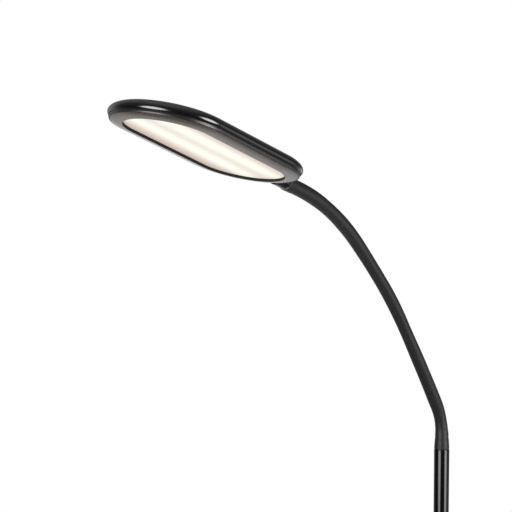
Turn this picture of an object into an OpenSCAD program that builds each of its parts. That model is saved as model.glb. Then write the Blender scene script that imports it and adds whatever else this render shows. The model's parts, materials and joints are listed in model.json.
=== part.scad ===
// Gooseneck floor lamp with a long oval LED head.
// Origin in the middle of the foot pad, on the floor. +Z is up and the head leans out towards -X.

/* [Base] */
// Diameter of the round base cover
base_d = 250; // [220:1:300]
// Height of the base cover at the pole
base_h = 30; // [28:0.5:34]
// Height at which the cover's straight rim ends
rim_h = 13; // [12:0.5:14]
// Radius of the cover's rounded shoulder
shoulder_r = 10; // [6:0.5:12]
// Gap between the floor and the cover's rim
rim_gap = 1; // [0.5:0.1:1.5]
// Thickness of the sheet steel cover
cover_wall = 1.2; // [0.8:0.1:1.6]
// Radius of the flat land in the middle of the cover
land_r = 30; // [28:1:40]
// Thickness of the foot pad
pad_h = 2.5; // [2:0.1:3]
// Thickness of the iron weight
weight_h = 12.5; // [10:0.5:13]
// Clearance between the weight and the inside of the cover
weight_gap = 1.5; // [1:0.1:3]
// Depth of the iron left above the nut
hub_web = 7.8; // [6:0.1:9]
// Radius of the pocket that holds the nut
pocket_r = 14.5; // [14:0.5:18]
// Height of the collar round the foot of the pole
collar_h = 7; // [4:0.5:12]
// Diameter of the collar round the foot of the pole
collar_d = 46; // [36:1:54]

/* [Pole] */
// Outside diameter of the pole
pole_d = 22; // [20:0.5:25]
// Wall of the pole's tubes
pole_wall = 1.2; // [1:0.1:1.5]
// Height of the joint between the two lower tubes
pole_joint_z = 395; // [300:5:500]
// Height of the pole's top, where the gooseneck starts
pole_top_z = 1005.5; // [950:0.5:1100]
// Length of tube that a threaded insert fills
insert_h = 20; // [14:1:30]
// Length of the thread that joins two tubes
thread_h = 15; // [10:1:18]
// Radius of the thread that joins two tubes
thread_r = 7; // [6:0.25:8]
// Radius of the way for the cable through an insert
cable_way_r = 3.1; // [3:0.1:4]

/* [Switch] */
// Height of the middle of the switch housing
switch_z = 810; // [700:5:850]
// Length of the switch housing
switch_h = 100; // [92:1:120]
// Radius of the switch housing
switch_r = 17; // [17:0.5:19]
// Radius of the housing where it grips the pole
switch_end_r = 12.8; // [12.6:0.1:13.5]
// Length of the housing's rounded ends
switch_end_h = 13; // [8:1:16]
// Length of pole that each end of the housing grips
switch_grip = 18; // [16:1:20]
// Wall of the switch housing
switch_wall = 2; // [1.6:0.1:2.4]
// Depth of the flat that the buttons stand in
switch_flat = 2.5; // [2:0.1:3]
// Diameter of a push button
button_d = 11; // [8:0.5:12]
// Distance between the two push buttons
button_pitch = 28; // [18:1:32]
// Height of a button above the flat
button_proud = 1.6; // [1.2:0.1:3]
// Travel of a button
button_travel = 1; // [0.5:0.1:1.5]
// Thickness of the flange that keeps a button in
button_flange = 0.8; // [0.6:0.1:1.2]
// Radial clearance of a button in its hole
button_gap = 0.06; // [0.02:0.01:0.1]

/* [Gooseneck] */
// Outside diameter of the gooseneck's sleeve
neck_d = 18; // [17:0.25:18]
// Outside diameter of the flexible hose inside the sleeve
hose_d = 11; // [9:0.5:12]
// Bore of the flexible hose
hose_bore = 6; // [5.5:0.25:7]
// Diameter of the lamp cable
cable_d = 4.4; // [3:0.1:5]
// Length of the first bending section
first_l = 51.5; // [45:0.5:70]
// Length of each of the other bending sections
section_l = 79.8; // [60:0.1:90]
// Height of the first bend above the pole
first_bend_h = 17; // [17:0.5:26]
// Clearance between a section's ball and its socket
socket_gap = 0.4; // [0.3:0.05:0.5]
// Length of the lower cuff
lower_cuff_h = 15; // [11:0.5:15]
// Diameter of the lower cuff at its upper edge
lower_cuff_d = 19.4; // [19.3:0.1:20]

/* [Head] */
// Radius of the light opening's rounded ends
opening_r = 56.5; // [50:0.5:62]
// Distance between the centres of the head's rounded ends
head_span = 147.6; // [100:0.2:180]
// Width of the bezel round the light opening
bezel_w = 16.1; // [13:0.1:16.3]
// Thickness of the bezel
bezel_wall = 1.6; // [1.2:0.1:2]
// Depth of the lens below the edge of the opening
lens_recess = 3.7; // [3:0.1:4]
// Thickness of the lens
lens_h = 2; // [1.5:0.1:2.5]
// Width of the trim ring between bezel and shell
trim_w = 1.3; // [0.8:0.1:1.6]
// Height of the trim ring's rounded edge
trim_round_h = 2.2; // [1:0.1:3]
// Width of the grooves beside the trim ring
groove_w = 0.4; // [0.3:0.05:0.5]
// Wall of the head shell
shell_wall = 2; // [1.6:0.1:2.2]
// Distance that the shell's widest line stands out from the opening's edge
rim_reach = 20.6; // [20.4:0.1:23]
// Half width of the rim's rounded section
rim_a = 21.8; // [20:0.1:24]
// Half height of the rim's rounded section
rim_b = 10.9; // [10:0.1:11.5]
// Height of the shell's widest line above the opening's edge
rim_mid = 11.7; // [11:0.1:12]

/* [Head joint] */
// Diameter of the tube that leaves the head
stem_d = 19; // [18.5:0.1:19.5]
// Height of the tube's axis above the opening's edge
stem_h = 11.3; // [11:0.1:12]
// Length of bare tube between the head and the upper cuff
stem_l = 24.6; // [24:0.1:34]
// Length of the upper cuff
upper_cuff_l = 18; // [14:1:22]
// Diameter of the upper cuff at its edge towards the head
upper_cuff_d = 20.4; // [20.2:0.1:22]
// Length of tube that the upper cuff covers
cuff_grip = 10; // [8:1:12]
// Distance from the upper cuff's edge to the last bend
last_bend_l = 33.5; // [29:0.5:39]
// Width of the tongue that enters the head
tongue_w = 20; // [16:1:24]
// Thickness of the tongue that enters the head
tongue_h = 8; // [6:0.5:8]

/* [Light engine] */
// Thickness of the white reflector tray
tray_wall = 1.2; // [0.8:0.1:1.4]
// Height of the reflector's ceiling above the opening's edge
tray_top = 13.9; // [12.5:0.1:14]
// Radius of the reflector's ceiling at its ends
tray_r = 46; // [40:0.5:47]
// Thickness of the aluminium heat spreader
spreader_h = 1.5; // [1:0.1:1.6]
// Radius of the heat spreader's rounded ends
spreader_r = 55; // [54:0.5:56]
// Distance between the two rows of lights
row_pitch = 52; // [30:1:60]
// Width of an LED board
led_board_w = 10; // [8:0.5:14]
// Thickness of the circuit boards
board_h = 1.2; // [0.8:0.1:1.6]
// Number of lights in each row
led_count = 20; // [10:1:26]
// Distance between two lights in a row
led_pitch = 10; // [8:0.5:11]

/* [Hidden] */
$fn = 64;
eps = 0.01;

// Bend of each gooseneck section, in degrees towards the head, from the pole up
section_bend = [34.5, 1.7, 1.1, 7.4, 2.5, 11.5, 12];

// Base
base_r = base_d / 2;
cover_in_r = base_r - cover_wall;
cover_under_z = base_h - cover_wall;
weight_r = cover_in_r - weight_gap;
weight_top_z = pad_h + weight_h;
pocket_top_z = cover_under_z - hub_web;
hub_inset = 2;
hub_r = land_r - hub_inset;
pad_inset = 3;
pad_r = cover_in_r - pad_inset;
shoulder_to = 86;
stud_r = 5;
stud_gap = 0.2;
washer_h = 1.5;
washer_r = 13;
nut_h = 6;
nut_across = 17;
stud_tail = 0.8;
stud_low_z = pocket_top_z - washer_h - nut_h - stud_tail;
supply_r = 2;
supply_bend_r = 6.5;
supply_z = stud_low_z - supply_bend_r;
channel_w = 6;
channel_room = 2.8;
channel_top_z = supply_z + channel_room;
channel_chamfer = 2;

// Cord inlet
grommet_r = 4.5;
grommet_flange_r = 5.1;
grommet_flange_h = 1.6;
grommet_bore_r = 2.6;
grommet_seat = 0.15;
grommet_room = 0.8;
grommet_bevel = 0.6;
supply_inset = 6;
supply_start_x = cover_in_r - supply_inset;

// Pole
pole_r = pole_d / 2;
pole_in_r = pole_r - pole_wall;
foot_insert_h = 25;
foot_thread_h = 22;
thread_tip = 1;
seam_h = 0.6;
seam_depth = 0.7;
seam_r = pole_r - seam_depth;
pole_end_z = pole_top_z - seam_h;
collar_gap = 0.1;
collar_rim = 1.5;
collar_lip = 1;
collar_bevel = 0.8;
collar_step = 4;
collar_step_r = pole_r + collar_step;

// Switch
switch_lip = 1;
switch_low_z = switch_z - switch_h / 2;
switch_high_z = switch_z + switch_h / 2;
middle_end_z = switch_low_z + switch_grip;
upper_start_z = switch_high_z - switch_grip;
bay_gap = 2;
bay_low_z = middle_end_z + bay_gap;
bay_high_z = upper_start_z - bay_gap;
flat_x = switch_r - switch_flat;
inner_x = flat_x - switch_wall;
button_flange_w = 1;
button_flange_r = button_d / 2 + button_flange_w;
button_crown = 0.7;
button_round = 0.5;
press_gap = 0.1;
contact_x = inner_x - button_flange - button_travel - press_gap;
contact_h = 3;
contact_w = 6;
contact_r = 1.7;
contact_cap = 0.6;
switch_board_h = 1.6;
switch_board_x = contact_x - contact_h;
switch_board_w = 18;
board_margin = 3;
post_r = 2;
post_inset = 4;
terminal_w = 10;
terminal_h = 10;
terminal_x = 3;
screw_r = 1.25;
screw_head_r = 2.3;
screw_head_h = 1.8;
screw_wall = 3.7;
screw_y = switch_r - screw_wall;
screw_inset = 9.5;
screw_head_x = 5.5;
screw_tip_x = 7;

// Gooseneck
neck_r = neck_d / 2;
hose_r = hose_d / 2;
cable_r = cable_d / 2;
socket_r = neck_r + socket_gap;
sections = len(section_bend);
section_ls = [for (i = [0 : sections - 1]) i == 0 ? first_l : section_l];
ferrule_h = 25;
cuff_edge = 0.4;

// A frame is [x, z, lean], where lean is the angle from straight up towards -X
function next_frame(f, l, bend) =
    let (r = l * 180 / (PI * bend))
    [f[0] - r * (cos(f[2]) - cos(f[2] + bend)), f[1] + r * (sin(f[2] + bend) - sin(f[2])), f[2] + bend];
function neck_frame(i) = i == 0
    ? [0, pole_top_z + first_bend_h, 0]
    : next_frame(neck_frame(i - 1), section_ls[i - 1], section_bend[i - 1]);
head_frame = neck_frame(sections);

// Head outline, as distances from the line between the centres of its two rounded ends
half_span = head_span / 2;
rim_c = opening_r + rim_reach - rim_a;
bezel_out_r = opening_r + bezel_w;
trim_in_r = bezel_out_r + groove_w;
trim_out_r = trim_in_r + trim_w;
shell_edge_r = trim_out_r + groove_w;
crown_from = 85;
arc_steps = 14;
crown_steps = 6;
round_steps = 8;
bezel_rise = 0.1;
bezel_curve = 0.0063;
wall_inset = 0.2;
wall_r = opening_r - wall_inset;
bezel_edge = 0.45;
trim_steps = 5;
ledge_w = 2.9;
lens_gap = 0.2;
lens_r = opening_r + ledge_w - lens_gap;
lens_top = lens_recess + lens_h;
lip_w = 1.6;
trim_gap = 0.2;
stem_r = stem_d / 2;
stem_wall = 2.5;
stem_web = 8;
shell_gap = 0.15;
wire_room = 0.5;
end_x = half_span + shell_edge_r + groove_w;
cuff_x = end_x + stem_l;
last_bend_x = cuff_x + last_bend_l;

// Light engine
tray_foot = 1;
tray_foot_r = opening_r + tray_foot;
led_size = [3, 2.8, 0.7];
tray_back = tray_top + tray_wall;
spreader_back = tray_back + spreader_h;
driver_l = 52;
driver_w = 36;
driver_gap = 21;
// Each chip is [distance from the board's end, across, length, width, height]
driver_chips = [[40, -8, 12, 12, 1.9], [22, -14, 7, 7, 1.4], [22, 2, 8, 8, 1.9]];
plug_l = 6;
plug_w = 10;
plug_h = 1.9;
boss_r = 3.5;
small_screw_r = 1.25;
small_head_r = 2.2;
small_head_h = 1.4;
small_screw_l = 3.2;
spreader_screw_r = 52;
spreader_screw_xs = [-half_span, 0, half_span];
tongue_reach = 15.5;
tongue_screw_reach = 9.5;
tongue_x = end_x - tongue_reach;
tongue_screw_x = end_x - tongue_screw_reach;
driver_x = tongue_x - driver_gap;
tongue_screw_y = 6.2;
tongue_screw_r = 1.5;
tongue_head_r = 2.75;
tongue_head_h = 2;
tongue_thread = 3;
head_wire_r = 1.5;
wire_climb = 15;
notch_w = 12;

// The outer surface of a bezel leans away from the opening's edge
function bezel_z(r) = let (d = r - opening_r) bezel_rise * d + bezel_curve * d * d;

// Points of the rim's rounded section from one angle to another, drawn in by a wall
function rim_arc(from, to, wall) =
    [for (i = [0 : arc_steps]) let (t = from + (to - from) * i / arc_steps)
        [rim_c + (rim_a - wall) * cos(t), rim_mid + (rim_b - wall) * sin(t)]];

// Height of the gently crowned back, drawn in by a wall
function crown_z(r, wall) =
    let (edge = rim_c + (rim_a - wall) * cos(crown_from))
    let (lean = (rim_b - wall) / (rim_a - wall) / tan(crown_from))
    rim_mid + (rim_b - wall) * sin(crown_from) + lean * (edge * edge - r * r) / (2 * edge);

// Outer surface of the shell from its lower edge over the rim to the middle of the back
function shell_line(wall) = concat(
    rim_arc(-acos((shell_edge_r - rim_c) / (rim_a - wall)), crown_from, wall),
    [for (i = [crown_steps - 1 : -1 : 0]) let (r = rim_c * i / crown_steps) [r, crown_z(r, wall)]]);

function reversed(list) = [for (i = [len(list) - 1 : -1 : 0]) list[i]];

// Carries a profile, given as distance and height, round the head's long oval
module oval_sweep() {
    for (side = [-1, 1])
        translate([side * half_span, 0, 0])
            rotate(side * -90)
                rotate_extrude(angle = 180)
                    children();
    rotate([90, 0, 90])
        linear_extrude(head_span, center = true) {
            children();
            mirror([1, 0])
                children();
        }
}

// A flat plate with the head's outline
module oval_plate(r, z, h) {
    translate([0, 0, z])
        linear_extrude(h) {
            square([head_span, 2 * r], center = true);
            for (side = [-1, 1])
                translate([side * half_span, 0])
                    circle(r);
        }
}

// Places what is drawn with the middle of the light opening at the origin
module in_head() {
    translate([head_frame[0], 0, head_frame[1]])
        rotate([0, 90 - head_frame[2], 0])
            translate([-last_bend_x, 0, -stem_h])
                children();
}

// Places what is drawn upwards from a bend of the gooseneck
module at_bend(i) {
    f = neck_frame(i);
    translate([f[0], 0, f[1]])
        rotate([0, -f[2], 0])
            children();
}

// A rod that bends towards -X as its section of the gooseneck does
module bent_rod(i, r) {
    bend_r = section_ls[i] * 180 / (PI * section_bend[i]);
    translate([-bend_r, 0, 0])
        rotate([90, 0, 0])
            rotate_extrude(angle = section_bend[i], $fn = 180)
                translate([bend_r, 0])
                    circle(r, $fn = 48);
}

// The rounded start of a layer, which stays inside the socket before it
module ball_start(r) {
    intersection() {
        sphere(neck_r);
        translate([0, 0, -neck_r])
            cylinder(h = neck_r, r = r);
    }
}

// One layer of a gooseneck section: a rounded start, a bent tube and a hollow end
module neck_layer(i, r, bore_r) {
    difference() {
        at_bend(i) {
            ball_start(r);
            bent_rod(i, r);
        }
        if (bore_r > 0)
            at_bend(i) {
                bent_rod(i, bore_r);
                translate([0, 0, -neck_r - 1])
                    cylinder(h = neck_r + 1, r = bore_r);
            }
        at_bend(i + 1)
            sphere(socket_r);
    }
}

module neck_sleeve(i) {
    color("#2b292a")
        neck_layer(i, neck_r, hose_r);
}

module neck_hose(i) {
    color("#9a9ca0")
        neck_layer(i, hose_r, hose_bore / 2);
}

module neck_wire(i) {
    color("#d8d5cc")
        neck_layer(i, cable_r, 0);
}

module foot_pad() {
    color("#1d1d1e")
        cylinder(h = pad_h, r = pad_r);
}

module base_weight() {
    color("#4c4b4a")
        difference() {
            rotate_extrude()
                polygon([[0, pad_h], [weight_r, pad_h], [weight_r, weight_top_z - channel_chamfer],
                    [weight_r - channel_chamfer, weight_top_z], [hub_r, weight_top_z],
                    [hub_r, cover_under_z], [0, cover_under_z]]);
            cylinder(h = base_h, r = stud_r + stud_gap);
            cylinder(h = pocket_top_z, r = pocket_r);
            translate([0, -channel_w / 2, 0])
                cube([base_r, channel_w, channel_top_z]);
            translate([cover_in_r - grommet_seat - grommet_flange_h - grommet_room, 0, supply_z])
                rotate([0, 90, 0])
                    cylinder(h = base_r, r = grommet_flange_r + grommet_room);
        }
}

// Half section of the cover's surface, drawn in by a wall
function cover_line(wall) = concat(
    [[base_r - wall, rim_gap]],
    [for (i = [0 : round_steps]) let (t = shoulder_to * i / round_steps)
        [base_r - shoulder_r + (shoulder_r - wall) * cos(t), rim_h + (shoulder_r - wall) * sin(t)]],
    [[land_r, base_h - wall], [stud_r + stud_gap, base_h - wall]]);

module base_cover() {
    color("#141213")
        difference() {
            rotate_extrude($fn = 120)
                polygon(concat(cover_line(0), reversed(cover_line(cover_wall))));
            translate([base_r - shoulder_r, 0, supply_z])
                rotate([0, 90, 0])
                    cylinder(h = shoulder_r + 1, r = grommet_r);
        }
}

module cord_grommet() {
    inner_face = cover_in_r - grommet_seat;
    color("#1d1d1e")
        translate([0, 0, supply_z])
            rotate([0, 90, 0])
                rotate_extrude()
                    polygon([[grommet_bore_r, inner_face - grommet_flange_h],
                        [grommet_flange_r, inner_face - grommet_flange_h], [grommet_flange_r, inner_face],
                        [grommet_r, inner_face], [grommet_r, base_r], [grommet_flange_r, base_r],
                        [grommet_flange_r - grommet_bevel, base_r + grommet_flange_h],
                        [grommet_bore_r, base_r + grommet_flange_h]]);
}

module base_stud() {
    color("#b9b6ae")
        translate([0, 0, stud_low_z])
            difference() {
                cylinder(h = base_h + foot_thread_h - stud_low_z, r = stud_r);
                translate([0, 0, -1])
                    cylinder(h = base_h + foot_thread_h, r = cable_way_r);
            }
}

module base_washer() {
    color("#c4c2bc")
        translate([0, 0, pocket_top_z - washer_h])
            difference() {
                cylinder(h = washer_h, r = washer_r);
                translate([0, 0, -1])
                    cylinder(h = washer_h + 2, r = stud_r + stud_gap);
            }
}

module base_nut() {
    color("#b9b6ae")
        translate([0, 0, pocket_top_z - washer_h - nut_h])
            difference() {
                cylinder(h = nut_h, d = nut_across / cos(30), $fn = 6);
                translate([0, 0, -1])
                    cylinder(h = nut_h + 2, r = stud_r);
            }
}

module pole_collar() {
    color("#141213")
        rotate_extrude()
            polygon(concat(
                [[pole_r + collar_gap, base_h], [collar_d / 2, base_h], [collar_d / 2, base_h + collar_rim]],
                [for (i = [0 : round_steps]) let (t = 90 * i / round_steps)
                    [collar_d / 2 - (collar_d / 2 - collar_step_r) * sin(t),
                     base_h + collar_h - collar_lip - (collar_h - collar_rim - collar_lip) * cos(t)]],
                [[collar_step_r - collar_bevel, base_h + collar_h],
                 [pole_r + collar_gap, base_h + collar_h]]));
}

// A tube of the pole between two heights
module pole_tube(low, high) {
    color("#120f10")
        translate([0, 0, low])
            difference() {
                cylinder(h = high - low, r = pole_r);
                translate([0, 0, -1])
                    cylinder(h = high - low + 2, r = pole_in_r);
            }
}

module foot_insert() {
    color("#8d8b87")
        translate([0, 0, base_h])
            difference() {
                cylinder(h = foot_insert_h, r = pole_in_r);
                translate([0, 0, -1])
                    cylinder(h = foot_thread_h + 1, r = stud_r);
                cylinder(h = foot_insert_h + 1, r = cable_way_r);
            }
}

module male_insert() {
    color("#8d8b87")
        difference() {
            union() {
                translate([0, 0, pole_joint_z - insert_h])
                    cylinder(h = insert_h, r = pole_in_r);
                translate([0, 0, pole_joint_z - eps])
                    cylinder(h = thread_h - thread_tip + eps, r = thread_r);
            }
            translate([0, 0, pole_joint_z - insert_h - 1])
                cylinder(h = insert_h + thread_h + 2, r = cable_way_r);
        }
}

module female_insert() {
    color("#a5a39e")
        translate([0, 0, pole_joint_z])
            difference() {
                cylinder(h = insert_h, r = pole_in_r);
                translate([0, 0, -1])
                    cylinder(h = thread_h + 1, r = thread_r);
                cylinder(h = insert_h + 1, r = cable_way_r);
            }
}

// Half section of the switch housing from its lower end to its upper end
function housing_line() = let (reach = switch_r - switch_end_r, rise = switch_end_h - switch_lip) concat(
    [[0, 0], [switch_end_r, 0]],
    [for (i = [0 : round_steps]) let (t = 90 * i / round_steps)
        [switch_end_r + reach * sin(t), switch_lip + rise * (1 - cos(t))]],
    [for (i = [round_steps : -1 : 0]) let (t = 90 * i / round_steps)
        [switch_end_r + reach * sin(t), switch_h - switch_lip - rise * (1 - cos(t))]],
    [[switch_end_r, switch_h], [0, switch_h]]);

// The whole housing, hollowed for the poles and the board, with its flat front
module housing_body() {
    difference() {
        translate([0, 0, switch_low_z])
            rotate_extrude()
                polygon(housing_line());
        translate([-switch_r - flat_x, -switch_r, switch_low_z + switch_end_h])
            cube([switch_r, 2 * switch_r, switch_h - 2 * switch_end_h]);
        translate([0, 0, switch_low_z - 1])
            cylinder(h = switch_grip + 1, r = pole_r);
        translate([0, 0, upper_start_z])
            cylinder(h = switch_grip + 1, r = pole_r);
        translate([0, 0, middle_end_z - eps])
            cylinder(h = upper_start_z - middle_end_z + 2 * eps, r = pole_in_r);
        intersection() {
            translate([0, 0, bay_low_z])
                cylinder(h = bay_high_z - bay_low_z, r = switch_r - switch_wall);
            translate([-inner_x, -switch_r, bay_low_z])
                cube([inner_x + switch_r, 2 * switch_r, bay_high_z - bay_low_z]);
        }
    }
}

// The places of the four housing screws
module at_switch_screws() {
    for (z = [switch_low_z + screw_inset, switch_high_z - screw_inset])
        for (side = [-1, 1])
            translate([0, side * screw_y, z])
                rotate([0, 90, 0])
                    children();
}

module switch_half(side) {
    intersection() {
        housing_body();
        translate([side > 0 ? 0 : -2 * switch_r, -switch_r - 1, switch_low_z - 1])
            cube([2 * switch_r, 2 * switch_r + 2, switch_h + 2]);
    }
}

module switch_front() {
    color("#1c1a1b")
        difference() {
            union() {
                switch_half(-1);
                for (z = [bay_low_z + board_margin + post_inset, bay_high_z - board_margin - post_inset])
                    translate([-inner_x - eps, 0, z])
                        rotate([0, 90, 0])
                            cylinder(h = inner_x - switch_board_x + eps, r = post_r);
            }
            for (side = [-1, 1])
                translate([-flat_x - 1, 0, switch_z + side * button_pitch / 2])
                    rotate([0, 90, 0])
                        cylinder(h = switch_wall + 2, r = button_d / 2 + button_gap);
            at_switch_screws()
                translate([0, 0, -screw_tip_x])
                    cylinder(h = screw_tip_x + 1, r = screw_r);
        }
}

module switch_back() {
    color("#1c1a1b")
        difference() {
            switch_half(1);
            at_switch_screws() {
                translate([0, 0, -1])
                    cylinder(h = switch_r, r = screw_r);
                translate([0, 0, screw_head_x])
                    cylinder(h = switch_r, r = screw_head_r);
            }
        }
}

module switch_screws() {
    color("#b9b6ae")
        at_switch_screws() {
            translate([0, 0, -screw_tip_x])
                cylinder(h = screw_tip_x + screw_head_x, r = screw_r);
            translate([0, 0, screw_head_x])
                cylinder(h = screw_head_h, r = screw_head_r);
        }
}

module switch_board() {
    low = bay_low_z + board_margin;
    high = bay_high_z - board_margin;
    back_x = -switch_board_x + switch_board_h;
    color("#1f5c3a")
        translate([-switch_board_x, -switch_board_w / 2, low])
            cube([switch_board_h, switch_board_w, high - low]);
    color("#3a3a3c")
        for (side = [-1, 1])
            translate([-contact_x, 0, switch_z + side * button_pitch / 2]) {
                translate([contact_cap, -contact_w / 2, -contact_w / 2])
                    cube([contact_h - contact_cap, contact_w, contact_w]);
                rotate([0, 90, 0])
                    cylinder(h = contact_cap + eps, r = contact_r);
            }
    color("#d9d6cc")
        for (z = [low, high - terminal_h])
            translate([back_x, -terminal_w / 2, z])
                cube([terminal_x - back_x, terminal_w, terminal_h]);
}

// A push button, drawn on its axis with the flat face of the housing at height 0
module push_button(z) {
    translate([-flat_x, 0, z])
        rotate([0, -90, 0])
            rotate_extrude()
                polygon(concat(
                    [[0, -switch_wall - button_flange], [button_flange_r, -switch_wall - button_flange],
                     [button_flange_r, -switch_wall], [button_d / 2, -switch_wall],
                     [button_d / 2, button_proud - button_crown]],
                    [for (i = [1 : 6]) let (t = 90 * i / 6)
                        [(button_d / 2) * pow(cos(t), button_round),
                         button_proud - button_crown + button_crown * sin(t)]]));
}

module power_button() {
    color("#d4d2cd")
        push_button(switch_z + button_pitch / 2);
}

module dimmer_button() {
    color("#d4d2cd")
        push_button(switch_z - button_pitch / 2);
}

module supply_cable() {
    low = supply_z + supply_bend_r;
    color("#2a2829") {
        translate([0, 0, low])
            cylinder(h = bay_low_z + board_margin - low, r = supply_r);
        translate([supply_bend_r, 0, low])
            rotate([-90, 0, 0])
                rotate([0, 0, 90])
                    rotate_extrude(angle = 90)
                        translate([supply_bend_r, 0])
                            circle(supply_r);
        translate([supply_bend_r, 0, supply_z])
            rotate([0, 90, 0])
                cylinder(h = supply_start_x - supply_bend_r, r = supply_r);
    }
}

module lamp_cable() {
    color("#d8d5cc")
        difference() {
            translate([0, 0, bay_high_z - board_margin])
                cylinder(h = neck_frame(0)[1] - bay_high_z + board_margin, r = cable_r);
            at_bend(0)
                sphere(socket_r);
        }
}

module neck_ferrule() {
    color("#8d8b87")
        difference() {
            union() {
                translate([0, 0, pole_end_z - ferrule_h])
                    cylinder(h = ferrule_h, r = pole_in_r);
                translate([0, 0, pole_end_z])
                    cylinder(h = seam_h, r = seam_r);
                translate([0, 0, pole_top_z - eps])
                    cylinder(h = first_bend_h + eps, r = hose_r);
            }
            translate([0, 0, pole_end_z - ferrule_h - 1])
                cylinder(h = ferrule_h + seam_h + first_bend_h + 2, r = hose_bore / 2);
            at_bend(0)
                sphere(socket_r);
        }
}

module lower_cuff() {
    color("#2b292a")
        difference() {
            translate([0, 0, pole_top_z])
                rotate_extrude()
                    polygon([[hose_r, 0], [pole_r - cuff_edge, 0], [pole_r, cuff_edge],
                        [lower_cuff_d / 2, lower_cuff_h - cuff_edge],
                        [lower_cuff_d / 2 - cuff_edge, lower_cuff_h], [hose_r, lower_cuff_h]]);
            at_bend(0)
                sphere(socket_r);
        }
}

// Turns what is drawn upwards so that it runs along the stem, from the head outwards
module along_stem(x) {
    translate([x, 0, stem_h])
        rotate([0, 90, 0])
            children();
}

module upper_cuff() {
    split_x = cuff_x + cuff_grip;
    neck_x = cuff_x + upper_cuff_l;
    color("#2b292a")
        in_head()
            difference() {
                union() {
                    along_stem(0)
                        rotate_extrude()
                            polygon([[0, cuff_x], [upper_cuff_d / 2 - cuff_edge, cuff_x],
                                [upper_cuff_d / 2, cuff_x + cuff_edge], [neck_r + cuff_edge, neck_x - cuff_edge],
                                [neck_r, neck_x], [neck_r, last_bend_x], [0, last_bend_x]]);
                    along_stem(last_bend_x)
                        rotate([180, 0, 0])
                            ball_start(neck_r);
                }
                along_stem(cuff_x - 1)
                    cylinder(h = cuff_grip + 1, r = stem_r);
                along_stem(split_x - eps)
                    cylinder(h = last_bend_x + neck_r - split_x + 1, r = hose_r);
            }
}

module upper_ferrule() {
    plug_x = cuff_x + cuff_grip;
    color("#8d8b87")
        in_head()
            difference() {
                union() {
                    along_stem(plug_x - ferrule_h)
                        cylinder(h = ferrule_h, r = stem_r - stem_wall);
                    along_stem(plug_x - eps)
                        cylinder(h = last_bend_x - plug_x + eps, r = hose_r);
                    along_stem(last_bend_x)
                        rotate([180, 0, 0])
                            ball_start(hose_r);
                }
                along_stem(plug_x - ferrule_h - 1)
                    cylinder(h = last_bend_x + neck_r - plug_x + ferrule_h + 2, r = hose_bore / 2);
            }
}

// The space inside the shell's outer surface, drawn out by a gap
module head_envelope(gap) {
    oval_sweep()
        polygon(concat([[0, 0], [rim_c, rim_mid - rim_b - gap]], rim_arc(-90, crown_from, -gap),
            [[0, crown_z(0, 0)]]));
}

module neck_stem() {
    web_x = end_x + stem_web;
    tail_x = cuff_x + cuff_grip;
    color("#141213")
        in_head()
            difference() {
                union() {
                    difference() {
                        union() {
                            along_stem(end_x)
                                cylinder(h = tail_x - end_x, r = stem_r);
                            intersection() {
                                along_stem(half_span + rim_c)
                                    cylinder(h = tail_x - half_span - rim_c, r = stem_r);
                                translate([half_span, -stem_r, stem_h])
                                    cube([tail_x, stem_d, stem_r]);
                            }
                        }
                        head_envelope(shell_gap);
                    }
                    translate([tongue_x, -tongue_w / 2, stem_h - tongue_h / 2])
                        cube([web_x - tongue_x, tongue_w - 2 * eps, tongue_h]);
                }
                along_stem(web_x)
                    cylinder(h = tail_x - web_x + 1, r = stem_r - stem_wall);
                along_stem(tongue_x - 1)
                    cylinder(h = web_x - tongue_x + 2, r = head_wire_r + wire_room);
                for (side = [-1, 1])
                    translate([tongue_screw_x, side * tongue_screw_y, stem_h - tongue_h / 2]) {
                        translate([0, 0, -1])
                            cylinder(h = tongue_h + 2, r = tongue_screw_r);
                        translate([0, 0, -1])
                            cylinder(h = tongue_head_h + 1, r = tongue_head_r);
                    }
            }
}

module stem_screws() {
    color("#b9b6ae")
        in_head()
            for (side = [-1, 1])
                translate([tongue_screw_x, side * tongue_screw_y, stem_h - tongue_h / 2]) {
                    cylinder(h = tongue_head_h, r = tongue_head_r);
                    translate([0, 0, tongue_head_h])
                        cylinder(h = tongue_h - tongue_head_h + tongue_thread, r = tongue_screw_r);
                }
}

// The six places where screws hold the heat spreader to the shell
module at_spreader_screws() {
    for (x = spreader_screw_xs)
        for (side = [-1, 1])
            translate([x, side * spreader_screw_r, 0])
                children();
}

module head_shell() {
    color("#141213")
        in_head()
            difference() {
                union() {
                    oval_sweep()
                        polygon(concat(shell_line(0), reversed(shell_line(shell_wall))));
                    at_spreader_screws()
                        translate([0, 0, spreader_back])
                            cylinder(h = crown_z(spreader_screw_r, shell_wall) + 1 - spreader_back, r = boss_r);
                    for (side = [-1, 1])
                        translate([tongue_screw_x, side * tongue_screw_y, stem_h + tongue_h / 2])
                            cylinder(h = tongue_thread + 1, r = boss_r);
                }
                at_spreader_screws()
                    translate([0, 0, spreader_back - 1])
                        cylinder(h = small_screw_l + 1, r = small_screw_r);
                for (side = [-1, 1])
                    translate([tongue_screw_x, side * tongue_screw_y, stem_h])
                        cylinder(h = tongue_h / 2 + tongue_thread, r = tongue_screw_r);
                translate([tongue_screw_x + boss_r, -tongue_w / 2, stem_h - tongue_h / 2])
                    cube([end_x, tongue_w, tongue_h]);
            }
}

module trim_ring() {
    low = bezel_z(bezel_out_r);
    back = low + bezel_wall;
    top = stem_h - tongue_h / 2 - trim_gap;
    face = [for (i = [0 : trim_steps]) let (t = 90 * i / trim_steps)
        [trim_in_r + trim_w * sin(t), low + trim_round_h * (1 - cos(t))]];
    color("#201e1f")
        in_head()
            oval_sweep()
                polygon(concat(face, [[trim_out_r, top], [bezel_out_r - lip_w, top],
                    [bezel_out_r - lip_w, back], [trim_in_r, back]]));
}

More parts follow.
